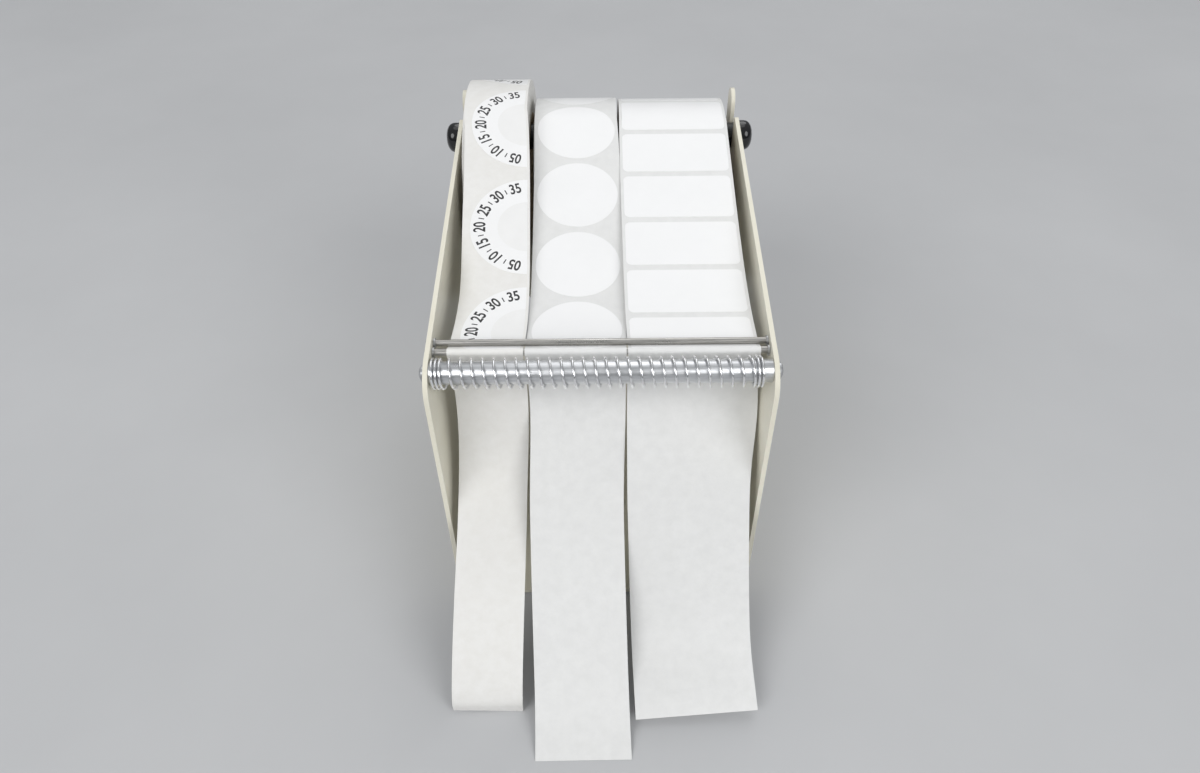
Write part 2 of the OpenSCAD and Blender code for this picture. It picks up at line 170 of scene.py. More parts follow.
rubbed, given, out = effect("rubbed_edges", {"Reach": 0.0008, "Patchiness": 120.0}, "Rub")
rounded = add(rubbed, "Bevel", {"Radius": given.outputs["Reach"]}, samples=4)
facing = add(rubbed, "VectorMath", {0: rounded.outputs[0], 1: add(rubbed, "NewGeometry").outputs["Normal"]},
             operation="DOT_PRODUCT")
patches = add(rubbed, "TexNoise", {"Vector": add(rubbed, "TexCoord").outputs["Object"],
                                   "Scale": given.outputs["Patchiness"], "Detail": 4.0, "Roughness": 0.7})
edge = ranged(rubbed, facing.outputs["Value"], 1.0, 0.0, 0.75, 0.995)
patchy = ranged(rubbed, patches.outputs[0], 0.0, 1.0, 0.42, 0.62)
rubbed.links.new(add(rubbed, "Math", {0: edge, 1: patchy}, operation="MULTIPLY").outputs[0], out.inputs[0])

cream, tree, shader = finish("cream_enamel", Specular_IOR_Level=0.5, Coat_Weight=0.15, Coat_Roughness=0.2)
cloud = use(tree, clouds, Scale=22.0)
enamel = mixed(tree, cloud, CREAM_SHADE, CREAM)
peel_texture = add(tree, "Bump", {"Strength": 0.16, "Distance": 0.0002,
                                  "Height": use(tree, grain, Scale=1100.0)})
worn = use(tree, rubbed, Reach=0.0007, Patchiness=90.0)
join(tree, shader, Base_Color=mixed(tree, worn, enamel, CREAM_RUBBED),
     Roughness=ranged(tree, cloud, 0.46, 0.34), Normal=peel_texture.outputs[0])


def piece(name, bm, material, body, stands_for=(), sharp=38):
    """Makes a closed mesh into a piece that rides on a body and takes the place of CAD nodes."""
    mesh = bpy.data.meshes.new(name)
    bm.to_mesh(mesh)
    bm.free()
    mesh.shade_smooth()
    mesh.set_sharp_from_angle(angle=math.radians(sharp))
    mesh.materials.append(material)
    made = bpy.data.objects.new(name, mesh)
    bpy.context.scene.collection.objects.link(made)
    if body:
        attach(made, body)
    if stands_for:
        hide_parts(*stands_for)
    return made


def line_to(bm, start, place):
    end = bm.verts.new((start.co.x, *place))
    bm.edges.new((start, end))
    return end


def arc_to(bm, start, centre, degrees, steps):
    swung = bmesh.ops.spin(bm, geom=[start], cent=(start.co.x, *centre), axis=(1, 0, 0),
                           angle=math.radians(degrees), steps=steps)
    return next(v for v in swung["geom_last"] if isinstance(v, bmesh.types.BMVert))


low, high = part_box("frame")
axle_at, axle_r = side(middle("roll_axle")), half_height("roll_axle")
peel_at, peel_r = side(middle("peel_rod")), half_height("peel_rod")
hold_at, hold_r = side(middle("hold_down_rod")), half_height("hold_down_rod")
bar_at = side(middle("spring_bar"))
nose = Vector((low.y + NOSE_R, low.z + NOSE_RISE))
slot_r = axle_r + SLOT_PLAY
lip = axle_at + Vector((-slot_r, LIP_RISE))
brow = heading(lip - nose) + math.degrees(math.acos(NOSE_R / (lip - nose).length))
slope = math.radians(brow - 90)
lip_centre = lip - Vector((LIP_R, LIP_R * math.tan(slope) + LIP_R / math.cos(slope)))
post = Vector((high.y - POST_W / 2, high.z - POST_W / 2))

bm = bmesh.new()
fold_z = low.z + FOLD_R
foot = [bm.verts.new((low.x, y, fold_z)) for y in (low.y, high.y)]
start = bm.edges.new(foot)
fold = bmesh.ops.spin(bm, geom=[*foot, start], cent=(low.x + FOLD_R, 0, fold_z), axis=(0, 1, 0),
                      angle=math.radians(-90), steps=FOLD_STEPS)
edge = next(e for e in fold["geom_last"] if isinstance(e, bmesh.types.BMEdge))
wide = bmesh.ops.extrude_edge_only(bm, edges=[edge])["geom"]
bmesh.ops.translate(bm, verts=[v for v in wide if isinstance(v, bmesh.types.BMVert)],
                    vec=(high.x - low.x - 2 * FOLD_R, 0, 0))
edge = next(e for e in wide if isinstance(e, bmesh.types.BMEdge) and e.is_boundary
            and all(v.co.x > 0 for v in e.verts))
fold = bmesh.ops.spin(bm, geom=[*edge.verts, edge], cent=(high.x - FOLD_R, 0, fold_z), axis=(0, 1, 0),
                      angle=math.radians(-90), steps=FOLD_STEPS)
end = next(e for e in fold["geom_last"] if isinstance(e, bmesh.types.BMEdge))
for foot_edge in (start, end):
    front, back = sorted(foot_edge.verts, key=lambda v: v.co.y)
    before = set(bm.edges) - {foot_edge}
    pen = line_to(bm, front, (low.y, nose.y))
    pen = arc_to(bm, pen, nose, brow - 180, NOSE_STEPS)
    pen = line_to(bm, pen, lip_centre + LIP_R * ray(brow))
    pen = arc_to(bm, pen, lip_centre, -brow, LIP_STEPS)
    pen = line_to(bm, pen, axle_at - Vector((slot_r, 0)))
    pen = arc_to(bm, pen, axle_at, 180, ROUND_STEPS)
    pen = line_to(bm, pen, post - Vector((POST_W / 2, 0)))
    pen = arc_to(bm, pen, post, -180, ROUND_STEPS)
    bm.edges.new((pen, back))
    upright = Matrix.Rotation(math.radians(90), 4, "Y")
    holes = ((peel_at, peel_r + HOLE_PLAY), (hold_at, hold_r + HOLE_PLAY), (bar_at, SCREW_HOLE_R))
    for at, radius in holes:
        bmesh.ops.create_circle(bm, radius=radius, segments=HOLE_SIDES,
                                matrix=Matrix.Translation((front.co.x, *at)) @ upright)
    bmesh.ops.triangle_fill(bm, use_beauty=True, edges=[e for e in bm.edges if e not in before])
bmesh.ops.remove_doubles(bm, verts=bm.verts, dist=1e-6)
bmesh.ops.recalc_face_normals(bm, faces=bm.faces)
bm.faces.ensure_lookup_table()
base = min(bm.faces, key=lambda f: f.calc_center_median().z)
if base.normal.z > 0:
    bmesh.ops.reverse_faces(bm, faces=bm.faces)
stand = piece("frame_sheet", bm, cream, "stand", ["frame"])
wall = stand.modifiers.new("sheet", "SOLIDIFY")
wall.thickness, wall.offset, wall.use_even_offset = SHEET, -1, True
eased = stand.modifiers.new("eased_edges", "BEVEL")
eased.width, eased.segments, eased.limit_method = SHEET_EDGE, 2, "ANGLE"
eased.angle_limit, eased.harden_normals = math.radians(EDGE_ANGLE), True


# Feet: four pads of black rubber, stuck under the corners of the base.
# Each is turned with a chamfer towards the bench.
PAD_R = 0.006
PAD_CHAMFER = 0.0005
PAD_SIDES = 40
RUBBER_DARK, RUBBER_GREY = (0.018, 0.018, 0.018, 1), (0.04, 0.04, 0.038, 1)
SOFT_ANGLE, SOFT_STEPS = 40, 3


def turned(profile, segments=48, at=(0, 0), closed=False, matrix=None, soft=0.0):
    """Spins (place along X, radius) points about a line along X that stands at a place in the side view."""
    bm = bmesh.new()
    points = [bm.verts.new((x, 0, radius)) for x, radius in profile]
    chain = [bm.edges.new(pair) for pair in zip(points, points[1:] + points[:1] if closed else points[1:])]
    bmesh.ops.spin(bm, geom=[*points, *chain], cent=(0, 0, 0), axis=(1, 0, 0), angle=math.tau,
                   steps=segments, use_merge=True)
    bmesh.ops.remove_doubles(bm, verts=bm.verts, dist=1e-7)
    bmesh.ops.recalc_face_normals(bm, faces=bm.faces)
    if soft:
        sharp = [e for e in bm.edges if e.is_manifold and e.calc_face_angle() > math.radians(SOFT_ANGLE)]
        bmesh.ops.bevel(bm, geom=sharp, offset=soft, offset_type="OFFSET", affect="EDGES",
                        segments=SOFT_STEPS, profile=0.5, material=-1)
    bmesh.ops.transform(bm, verts=bm.verts, matrix=matrix or Matrix.Translation((0, *at)))
    return bm


rubber, tree, shader = finish("foot_rubber", Specular_IOR_Level=0.35)
cloud = use(tree, clouds, Scale=160.0)
rubber_skin = add(tree, "Bump", {"Strength": 0.3, "Distance": 0.0002,
                                 "Height": use(tree, grain, Scale=2500.0)})
join(tree, shader, Base_Color=mixed(tree, cloud, RUBBER_DARK, RUBBER_GREY),
     Roughness=ranged(tree, cloud, 0.62, 0.8), Normal=rubber_skin.outputs[0])

low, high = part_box("rubber_feet")
pads = bmesh.new()
for x in (low.x + PAD_R, high.x - PAD_R):
    for y in (low.y + PAD_R, high.y - PAD_R):
        stood = Matrix.Translation((x, y, 0)) @ Matrix.Rotation(math.radians(-90), 4, "Y")
        pad = turned([(low.z, 0), (low.z, PAD_R - PAD_CHAMFER), (low.z + PAD_CHAMFER, PAD_R),
                      (high.z, PAD_R), (high.z, 0)], segments=PAD_SIDES, matrix=stood)
        mesh = bpy.data.meshes.new("pad")
        pad.to_mesh(mesh)
        pad.free()
        pads.from_mesh(mesh)
        bpy.data.meshes.remove(mesh)
piece("rubber_pads", pads, rubber, "stand", ["rubber_feet"])


# Bar: a drawn aluminium round across the nose, cut to length and held by a pan-head screw in each plate.
# The screws are zinc plated steel with a cross recess, and so are the rings on the rods.
BAR_EDGE = 0.0004
BAR_SIDES = 64
ALUMINIUM_DULL, ALUMINIUM_BRIGHT = (0.58, 0.59, 0.605, 1), (0.76, 0.77, 0.785, 1)
ZINC_DULL, ZINC_BRIGHT, ZINC_RUBBED = (0.42, 0.43, 0.44, 1), (0.6, 0.61, 0.62, 1), (0.78, 0.78, 0.78, 1)
aluminium, tree, shader = finish("drawn_aluminium", Metallic=1.0)
streak = use(tree, streaks, Scale=1100.0)
cloud = use(tree, clouds, Scale=60.0)
drawn = add(tree, "Bump", {"Strength": 0.25, "Distance": 0.0001, "Height": streak})
join(tree, shader, Base_Color=mixed(tree, streak, ALUMINIUM_DULL, ALUMINIUM_BRIGHT),
     Roughness=ranged(tree, cloud, 0.27, 0.4), Normal=drawn.outputs[0])
low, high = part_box("spring_bar")
bar_r = half_height("spring_bar")
bm = turned([(low.x, 0), (low.x, bar_r), (high.x, bar_r), (high.x, 0)], BAR_SIDES, bar_at, soft=BAR_EDGE)
piece("drawn_bar", bm, aluminium, "stand", ["spring_bar"])

zinc, tree, shader = finish("zinc_plate", Metallic=1.0)
cloud = use(tree, clouds, Scale=900.0)
worn = use(tree, rubbed, Reach=0.0003, Patchiness=900.0)
plated = add(tree, "Bump", {"Strength": 0.15, "Distance": 0.0001,
                            "Height": use(tree, grain, Scale=4000.0)})
join(tree, shader, Base_Color=mixed(tree, worn, mixed(tree, cloud, ZINC_DULL, ZINC_BRIGHT), ZINC_RUBBED),
     Roughness=ranged(tree, cloud, 0.28, 0.45), Normal=plated.outputs[0])
for name in ("left_bar_screw", "right_bar_screw", "hold_down_rings", "peel_rings"):
    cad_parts[name].data.materials.clear()
    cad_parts[name].data.materials.append(zinc)


# Spring: a loose coil of bright plated wire that hangs on the bar, so that the liners roll under it.
# It is wound close at both ends and open between them, and its ends are cut square.
WIRE_R = 0.00055
COIL_R = 0.006
CLOSE_TURNS = 2.5
CLOSE_PITCH = 0.0016
OPEN_TURNS = 28
TURN_STEPS = 32
WIRE_SIDES = 12
END_RUN = 2 * WIRE_R
WIRE_DULL, WIRE_BRIGHT = (0.80, 0.81, 0.825, 1), (0.94, 0.94, 0.95, 1)
bright, tree, shader = finish("bright_wire", Metallic=1.0)
cloud = use(tree, clouds, Scale=420.0)
wire_skin = add(tree, "Bump", {"Strength": 0.12, "Distance": 0.0001,
                               "Height": use(tree, grain, Scale=3000.0)})
join(tree, shader, Base_Color=mixed(tree, cloud, WIRE_DULL, WIRE_BRIGHT),
     Roughness=ranged(tree, cloud, 0.1, 0.2), Normal=wire_skin.outputs[0])

low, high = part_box("bar_spring")
coil_at = side((low + high) / 2)
coil_at.x = bar_at.x
open_pitch = (high.x - low.x - 2 * WIRE_R - 2 * CLOSE_TURNS * CLOSE_PITCH) / OPEN_TURNS
bm = bmesh.new()
wire_start = Matrix.Translation((low.x + WIRE_R, coil_at.x + COIL_R, coil_at.y))
ring = bmesh.ops.create_circle(bm, radius=WIRE_R, segments=WIRE_SIDES, matrix=wire_start)["verts"]
first = list({e for v in ring for e in v.link_edges})
wound = [*ring, *first]
for turns, pitch in ((CLOSE_TURNS, CLOSE_PITCH), (OPEN_TURNS, open_pitch), (CLOSE_TURNS, CLOSE_PITCH)):
    steps = round(turns * TURN_STEPS)
    wound = bmesh.ops.spin(bm, geom=wound, cent=(0, *coil_at), axis=(1, 0, 0), angle=math.tau * turns,
                           steps=steps, dvec=(pitch / TURN_STEPS, 0, 0))["geom_last"]
last = [e for e in wound if isinstance(e, bmesh.types.BMEdge)]
for wire_end, way in ((first, -1), (last, 1)):
    run = bmesh.ops.extrude_edge_only(bm, edges=wire_end)["geom"]
    bmesh.ops.translate(bm, verts=[v for v in run if isinstance(v, bmesh.types.BMVert)],
                        vec=(0, 0, way * END_RUN))
    rim = [e for e in run if isinstance(e, bmesh.types.BMEdge) and e.is_boundary]
    bmesh.ops.contextual_create(bm, geom=rim)
bmesh.ops.recalc_face_normals(bm, faces=bm.faces)
piece("coil_spring", bm, bright, "spring_coil", ["bar_spring"], sharp=50)


# Rods: two ground steel rods in plain holes, the upper one pressing the webs down and the lower one turning
# the liners. Each has a groove near both ends for its retaining ring, which sits just inside the plate.
GROOVE = 0.0003
RING_T = 0.0008
ROD_CHAMFER = 0.00033
ROD_SIDES = 40
STEEL_DARK, STEEL_PALE = (0.34, 0.33, 0.31, 1), (0.55, 0.54, 0.515, 1)
ground, tree, shader = finish("ground_steel", Metallic=1.0)
streak = use(tree, streaks, Scale=1900.0)
cloud = use(tree, clouds, Scale=75.0)
ground_lines = add(tree, "Bump", {"Strength": 0.2, "Distance": 0.0001, "Height": streak})
join(tree, shader, Base_Color=mixed(tree, streak, STEEL_DARK, STEEL_PALE),
     Roughness=ranged(tree, cloud, 0.24, 0.38), Normal=ground_lines.outputs[0])
for body, at, radius in (("hold_down", hold_at, hold_r), ("peel", peel_at, peel_r)):
    rod = body + "_rod"
    rod_end, ring_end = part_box(rod)[1].x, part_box(body + "_rings")[1].x
    half = [(ring_end - RING_T, radius), (ring_end - RING_T, radius - GROOVE), (ring_end, radius - GROOVE),
            (ring_end, radius), (rod_end - ROD_CHAMFER, radius), (rod_end, radius - ROD_CHAMFER),
            (rod_end, 0)]
    bm = turned([(-x, r) for x, r in reversed(half)] + half, ROD_SIDES, at)
    piece("ground_" + rod, bm, ground, body, [rod])


# Axle: a satin black rod with turned ends that drops into the two slots, with a glossy black knob pressed
# on each end. The knobs keep it from sliding sideways and are the grips for lifting it out.
SPIGOT_R = 0.004
AXLE_SIDES, KNOB_SIDES = 56, 48
KNOB_FOOT, FOOT_EASE = 0.0007, 0.3
KNOB_DOME = ((0.42, 1), (0.52, 0.992), (0.62, 0.965), (0.72, 0.91), (0.81, 0.82), (0.89, 0.69),
             (0.95, 0.52), (0.985, 0.3), (1, 0))
AXLE_DARK, AXLE_GREY, AXLE_RUBBED = (0.012, 0.012, 0.013, 1), (0.03, 0.03, 0.031, 1), (0.11, 0.11, 0.11, 1)
KNOB_BLACK, KNOB_RUBBED = (0.006, 0.006, 0.007, 1), (0.02, 0.02, 0.02, 1)
black, tree, shader = finish("satin_black", Specular_IOR_Level=0.45)
streak = use(tree, streaks, Scale=600.0)
worn = use(tree, rubbed, Reach=0.0006, Patchiness=200.0)
join(tree, shader, Base_Color=mixed(tree, worn, mixed(tree, streak, AXLE_DARK, AXLE_GREY), AXLE_RUBBED),
     Roughness=ranged(tree, streak, 0.3, 0.46))
shiny, tree, shader = finish("glossy_black", Specular_IOR_Level=0.5, Coat_Weight=0.15, Coat_Roughness=0.04)
cloud = use(tree, clouds, Scale=260.0)
worn = use(tree, rubbed, Reach=0.0006, Patchiness=300.0)
join(tree, shader, Base_Color=mixed(tree, worn, KNOB_BLACK, KNOB_RUBBED),
     Roughness=ranged(tree, cloud, 0.07, 0.16))
low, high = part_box("right_knob")
knob_r = half_height("right_knob")
shoulder = low.x
spigot_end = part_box("roll_axle")[1].x
half = [(shoulder, axle_r), (shoulder, SPIGOT_R), (spigot_end, SPIGOT_R), (spigot_end, 0)]
bm = turned([(-x, r) for x, r in reversed(half)] + half, AXLE_SIDES, axle_at)
piece("axle_rod", bm, black, "axle", ["roll_axle"])
length = high.x - low.x
eased_foot = KNOB_FOOT * FOOT_EASE
shape = [(shoulder, SPIGOT_R), (shoulder, knob_r - KNOB_FOOT), (shoulder + eased_foot, knob_r - eased_foot),
         (shoulder + KNOB_FOOT, knob_r)]
shape += [(shoulder + length * along, knob_r * across) for along, across in KNOB_DOME]
for name, way in (("left_knob", -1), ("right_knob", 1)):
    bm = turned([(way * x, r) for x, r in shape], KNOB_SIDES, axle_at)
    piece("grip_" + name, bm, shiny, "axle", [name])


# Cores: tubes of spiral wound grey board that hang on the axle by the top of their bores.
# Their ends are cut square and their seams run round the bore as a shallow spiral.
CORE_WALL = 0.003
CORE_EDGE = 0.0003
CORE_SIDES = 96
SEAM_LEAD, SEAM_W = 0.06, 0.012
BOARD_DARK, BOARD_PALE, BOARD_SEAM = (0.42, 0.35, 0.26, 1), (0.60, 0.51, 0.39, 1), (0.24, 0.19, 0.14, 1)
LANES = ("left", "middle", "right")
roll_at = side(middle("left_core"))
board, tree, shader = finish("core_board", Specular_IOR_Level=0.25)
place = add(tree, "TexCoord").outputs["Object"]
centred = add(tree, "Mapping", {"Vector": place, "Location": (0, -roll_at.x, -roll_at.y)})
axes = add(tree, "SeparateXYZ", {0: centred.outputs[0]})
angle = add(tree, "Math", {0: axes.outputs[2], 1: axes.outputs[1]}, operation="ARCTAN2").outputs[0]
turn_share = add(tree, "Math", {0: angle, 1: math.tau}, operation="DIVIDE").outputs[0]
lead = add(tree, "Math", {0: axes.outputs[0], 1: SEAM_LEAD}, operation="DIVIDE").outputs[0]
spiral = add(tree, "Math", {0: add(tree, "Math", {0: turn_share, 1: lead}, operation="ADD").outputs[0]},
             operation="FRACT").outputs[0]
seam = add(tree, "Math", {0: spiral, 1: 0.5, 2: SEAM_W}, operation="COMPARE").outputs[0]
fibre = use(tree, clouds, Scale=380.0)
greyed = mixed(tree, fibre, BOARD_DARK, BOARD_PALE)
board_skin = add(tree, "Bump", {"Strength": 0.4, "Distance": 0.0002,
                                "Height": use(tree, grain, Scale=1700.0)})
join(tree, shader, Base_Color=mixed(tree, seam, greyed, BOARD_SEAM),
     Roughness=ranged(tree, fibre, 0.72, 0.9), Normal=board_skin.outputs[0])
core_r = half_height("left_core")
for lane in LANES:
    low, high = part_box(lane + "_core")
    tube = [(low.x, core_r - CORE_WALL), (high.x, core_r - CORE_WALL), (high.x, core_r), (low.x, core_r)]
    bm = turned(tube, CORE_SIDES, roll_at, closed=True, soft=CORE_EDGE)
    piece(lane + "_board_core", bm, board, lane + "_reel", [lane + "_core"])


# Rolls: label stock wound tight on each core, liner inside and labels outside. The cut edges of the turns
# stand a little uneven, so the flanks show fine rings. The outer turn shows the liner between its labels.
RING_PITCH = 0.0006
RING_UNEVEN = 0.00009
ROLL_SIDES = 128
EDGE_DARK, EDGE_PALE, EDGE_SOILED = (0.66, 0.65, 0.62, 1), (0.87, 0.865, 0.845, 1), (0.70, 0.68, 0.63, 1)
WHITE, WHITE_SHADE = (0.83, 0.83, 0.82, 1), (0.775, 0.775, 0.765, 1)
IVORY, IVORY_SHADE = (0.865, 0.857, 0.835, 1), (0.815, 0.803, 0.773, 1)
stock, tree, shader = finish("wound_edges", Specular_IOR_Level=0.3)
place = add(tree, "TexCoord").outputs["Object"]
centred = add(tree, "Mapping", {"Vector": place, "Location": (0, -roll_at.x, -roll_at.y),
                                "Scale": (0, 1, 1)})
reach = add(tree, "VectorMath", {0: centred.outputs[0]}, operation="LENGTH").outputs["Value"]
spread = add(tree, "CombineXYZ", {0: reach})
turns = add(tree, "TexNoise", {"Vector": spread.outputs[0], "Scale": 5200.0, "Detail": 3.0,
                               "Roughness": 0.7})
layer = ranged(tree, turns.outputs[0], 0.0, 1.0, 0.3, 0.7)
cloud = use(tree, clouds, Scale=45.0)
edges = mixed(tree, layer, EDGE_DARK, EDGE_PALE)
layers = add(tree, "Bump", {"Strength": 0.35, "Distance": 0.0002, "Height": layer})
join(tree, shader, Base_Color=mixed(tree, ranged(tree, cloud, 0.0, 0.25), edges, EDGE_SOILED),
     Roughness=ranged(tree, layer, 0.75, 0.55), Normal=layers.outputs[0])


def glassine(name, pale, shade):
    material, tree, shader = finish(name, Specular_IOR_Level=0.4)
    mottle = use(tree, clouds, Scale=210.0)
    drift = use(tree, clouds, Scale=26.0)
    paper = mixed(tree, mottle, shade, pale)
    skin = add(tree, "Bump", {"Strength": 0.1, "Distance": 0.0003, "Height": mottle})
    join(tree, shader, Base_Color=mixed(tree, ranged(tree, drift, 0.0, 0.35), paper, shade),
         Roughness=ranged(tree, mottle, 0.5, 0.62), Normal=skin.outputs[0])
    return material


white_liner = glassine("white_liner", WHITE, WHITE_SHADE)
ivory_liner = glassine("ivory_liner", IVORY, IVORY_SHADE)
outer_turn = {"left": ivory_liner, "middle": white_liner, "right": white_liner}
chance = random.Random(7)
for lane in LANES:
    low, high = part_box(lane + "_roll")
    outer = half_height(lane + "_roll")
    count = round((outer - core_r) / RING_PITCH)
    radii = [core_r + (outer - core_r) * k / count for k in range(count + 1)]
    flank = [(high.x - chance.uniform(0, RING_UNEVEN), r) for r in radii]
    other = [(low.x + chance.uniform(0, RING_UNEVEN), r) for r in reversed(radii)]
    bm = turned(flank + other, ROLL_SIDES, roll_at, closed=True)
    for rolled in bm.faces:
        if (side(rolled.calc_center_median()) - roll_at).length > outer - RING_UNEVEN:
            rolled.material_index = 1
    wound = piece(lane + "_wound_stock", bm, stock, lane + "_reel", [lane + "_roll"],
                  sharp=60)
    wound.data.materials.append(outer_turn[lane])


# Liners: silicone coated glassine paper. Each web starts just off the front of its roll, which can turn
# beneath it, runs under the upper rod, turns over the lower rod and hangs behind the bar down to the bench,
# where its torn end lies or curls. What lies on the roll rises to the web where that starts.
LINER_T = 0.00006
LABEL_T = 0.00006
RUN_PLAY = 0.00002
ROLL_COVER = 0.00008
ROLL_RISE = 0.01
ROLL_HOLD = 0.025
WEB_SAG = {"left": 0.0075, "middle": 0.0085, "right": 0.005}
SAG_PEAK = 4 / 27
LEAVE = 188
DIP_FADE, BOW_POWER, TORN_POWER = 8, 4, 6
WEB_STEPS, HOLD_STEPS, PEEL_STEPS, TAIL_STEPS = 60, 12, 24, 20
BENCH_PLAY = 0.00005
# Where each tail passes: mm behind the lower rod, and the share of that rod's height below it
TAIL_KNOTS = {
    "left": ((2.5, 0.21), (-8.5, 0.48), (-50.5, 0.71), (-70, 0.83), (-80.5, 0.93), (-80.8, 1)),
    "middle": ((2.5, 0.21), (-15.5, 0.43), (-50.5, 0.71), (-74.5, 0.89), (-88, 0.96), (-103.5, 1)),
    "right": ((2.5, 0.21), (-16.5, 0.42), (-45.5, 0.76), (-60.5, 0.88), (-80.5, 0.94), (-87.6, 0.967)),
}
TAIL_DRIFT = {"left": -0.0027, "middle": 0.0029, "right": 0.0034}
TAIL_SKEW = {"left": -0.0013, "middle": 0.0004, "right": 0.0036}
TAIL_LEAN = {"left": -0.0018, "middle": -0.0015, "right": -0.0005}
LEAN_FROM, LEAN_RUN = 0.15, 0.3
WEB_BOW = {"left": 0.0015, "middle": 0.0007, "right": -0.0004}
EDGE_DIP = {"left": 0.004, "middle": 0, "right": 0}
EDGE_FLARE = {"left": 0, "middle": 0, "right": 0.0028}
FLARE_AT, FLARE_SPREAD = 0.2, 0.12
DIP_SHARE, DIP_AT, DIP_SPREAD = 0.35, 0.73, 0.17
LEFT_ROOM = 0.006
LANE_GAP = 0.0006
ACROSS = 10


def smooth(share):
    """Eases a share in and out, from 0 to 1."""
    share = min(1.0, max(0.0, share))
    return share * share * (3 - 2 * share)


def bell(share, centre, spread):
    return math.exp(-((share - centre) / spread) ** 2)


def spline(a, b, c, d, t):
    return (b + (c - a) * t / 2 + (2 * a - 5 * b + 4 * c - d) * t * t / 2
            + (3 * b - a - 3 * c + d) * t * t * t / 2)


class Route:
    """The way of one liner in the side view, from the front of its roll to the end of its tail."""

    def __init__(self, lane, left):
        low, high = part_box(lane + "_core")
        self.width = high.x - low.x
        self.left, self.right = left, left + self.width
        self.columns = [left + self.width * k / ACROSS for k in range(ACROSS + 1)]
        self.stray = left - low.x
        self.drift, self.lean, self.skew = TAIL_DRIFT[lane], TAIL_LEAN[lane], TAIL_SKEW[lane]
        self.bow, self.dip, self.flare = WEB_BOW[lane], EDGE_DIP[lane], EDGE_FLARE[lane]
        self.roll_r = half_height(lane + "_roll")
        under = hold_r + LABEL_T + LINER_T / 2 + RUN_PLAY
        over = peel_r + LINER_T / 2 + RUN_PLAY
        reach = self.roll_r + ROLL_COVER + LINER_T / 2
        gap = hold_at - roll_at
        self.leave_roll = heading(gap) - math.degrees(math.acos((reach + under) / gap.length))
        sag = WEB_SAG[lane] / SAG_PEAK
        straight = math.sqrt(gap.length ** 2 - (reach + under) ** 2)
        meet = self.leave_roll - math.degrees(math.atan(sag / straight))
        start, end = roll_at + reach * ray(self.leave_roll), hold_at - under * ray(meet)
        points = []
        for k in range(WEB_STEPS + 1):
            u = k / WEB_STEPS
            points.append(start.lerp(end, u) - Vector((0, sag * u * u * (1 - u))))
        gap = peel_at - hold_at
        pinch = heading(gap) + math.degrees(math.acos((under + over) / gap.length))
        bends = ((hold_at, under, meet - 180, pinch, HOLD_STEPS),
                 (peel_at, over, pinch + 180, LEAVE, PEEL_STEPS))
        for centre, radius, first, last, steps in bends:
            turns = [first + (last - first) * k / steps for k in range(1, steps + 1)]
            points += [centre + radius * ray(turn) for turn in turns]
        top = peel_at + Vector((0, over))
        crest = min(range(len(points)), key=lambda k: abs(points[k].x - top.x) + abs(points[k].y - top.y))
        turn = len(points) - 1
        knots = [points[-1]]
        knots += [peel_at + Vector((y / 1000, -share * peel_at.y)) for y, share in TAIL_KNOTS[lane]]
        knots = [2 * knots[0] - knots[1], *knots, 2 * knots[-1] - knots[-2]]
        for a, b, c, d in zip(knots, knots[1:], knots[2:], knots[3:]):
            points += [spline(a, b, c, d, k / TAIL_STEPS) for k in range(1, TAIL_STEPS + 1)]
        self.points = [Vector((p.x, max(p.y, LINER_T / 2 + BENCH_PLAY))) for p in points]
        self.stations = [0.0]
        for a, b in zip(self.points, self.points[1:]):
            self.stations.append(self.stations[-1] + (b - a).length)
        last = len(points) - 1
        ways = [self.points[min(k + 1, last)] - self.points[max(k - 1, 0)] for k in range(last + 1)]
        self.outward = [Vector((way.y, -way.x)).normalized() for way in ways]
        self.length = self.stations[-1]
        self.web = self.stations[WEB_STEPS]
        self.crest, self.turn = self.stations[crest], self.stations[turn]

    def place(self, x, s, lift):
        """The point at x, at s along the liner from the roll, and lifted off the liner's label side."""
        if s < 0:
            way = ray(self.leave_roll + math.degrees(s / self.roll_r))
            lift += (ROLL_COVER + LINER_T) * smooth(1 + s / ROLL_RISE)
            return Vector((x - self.stray, *(roll_at + (self.roll_r + lift) * way)))
        k = min(max(bisect.bisect_right(self.stations, s) - 1, 0), len(self.points) - 2)
        t = (s - self.stations[k]) / (self.stations[k + 1] - self.stations[k])
        at = self.points[k].lerp(self.points[k + 1], t)
        out = self.outward[k].lerp(self.outward[k + 1], t).normalized()
        hang = max(0.0, (s - self.turn) / (self.length - self.turn))
        run = min(1.0, s / self.web)
        share = (x - self.left) / self.width
        edge = max(0.0, 1 - share / DIP_SHARE)
        lift -= self.dip * edge * edge * bell(run, DIP_AT, DIP_SPREAD) * (1 - run ** DIP_FADE)
        x += self.drift * hang * hang + self.lean * smooth((hang - LEAN_FROM) / LEAN_RUN)
        x += self.bow * (1 - (2 * run - 1) ** BOW_POWER) - self.stray * (1 - run)
        x += self.flare * share * share * bell(hang, FLARE_AT, FLARE_SPREAD)
        return Vector((x, *(at + (lift + LINER_T / 2) * out)))

    def lay(self, bm):
        """Bends a flat shape, drawn with x across, y along and z off the liner, onto the route."""
        for v in bm.verts:
            v.co = self.place(*v.co)
        bmesh.ops.recalc_face_normals(bm, faces=bm.faces)


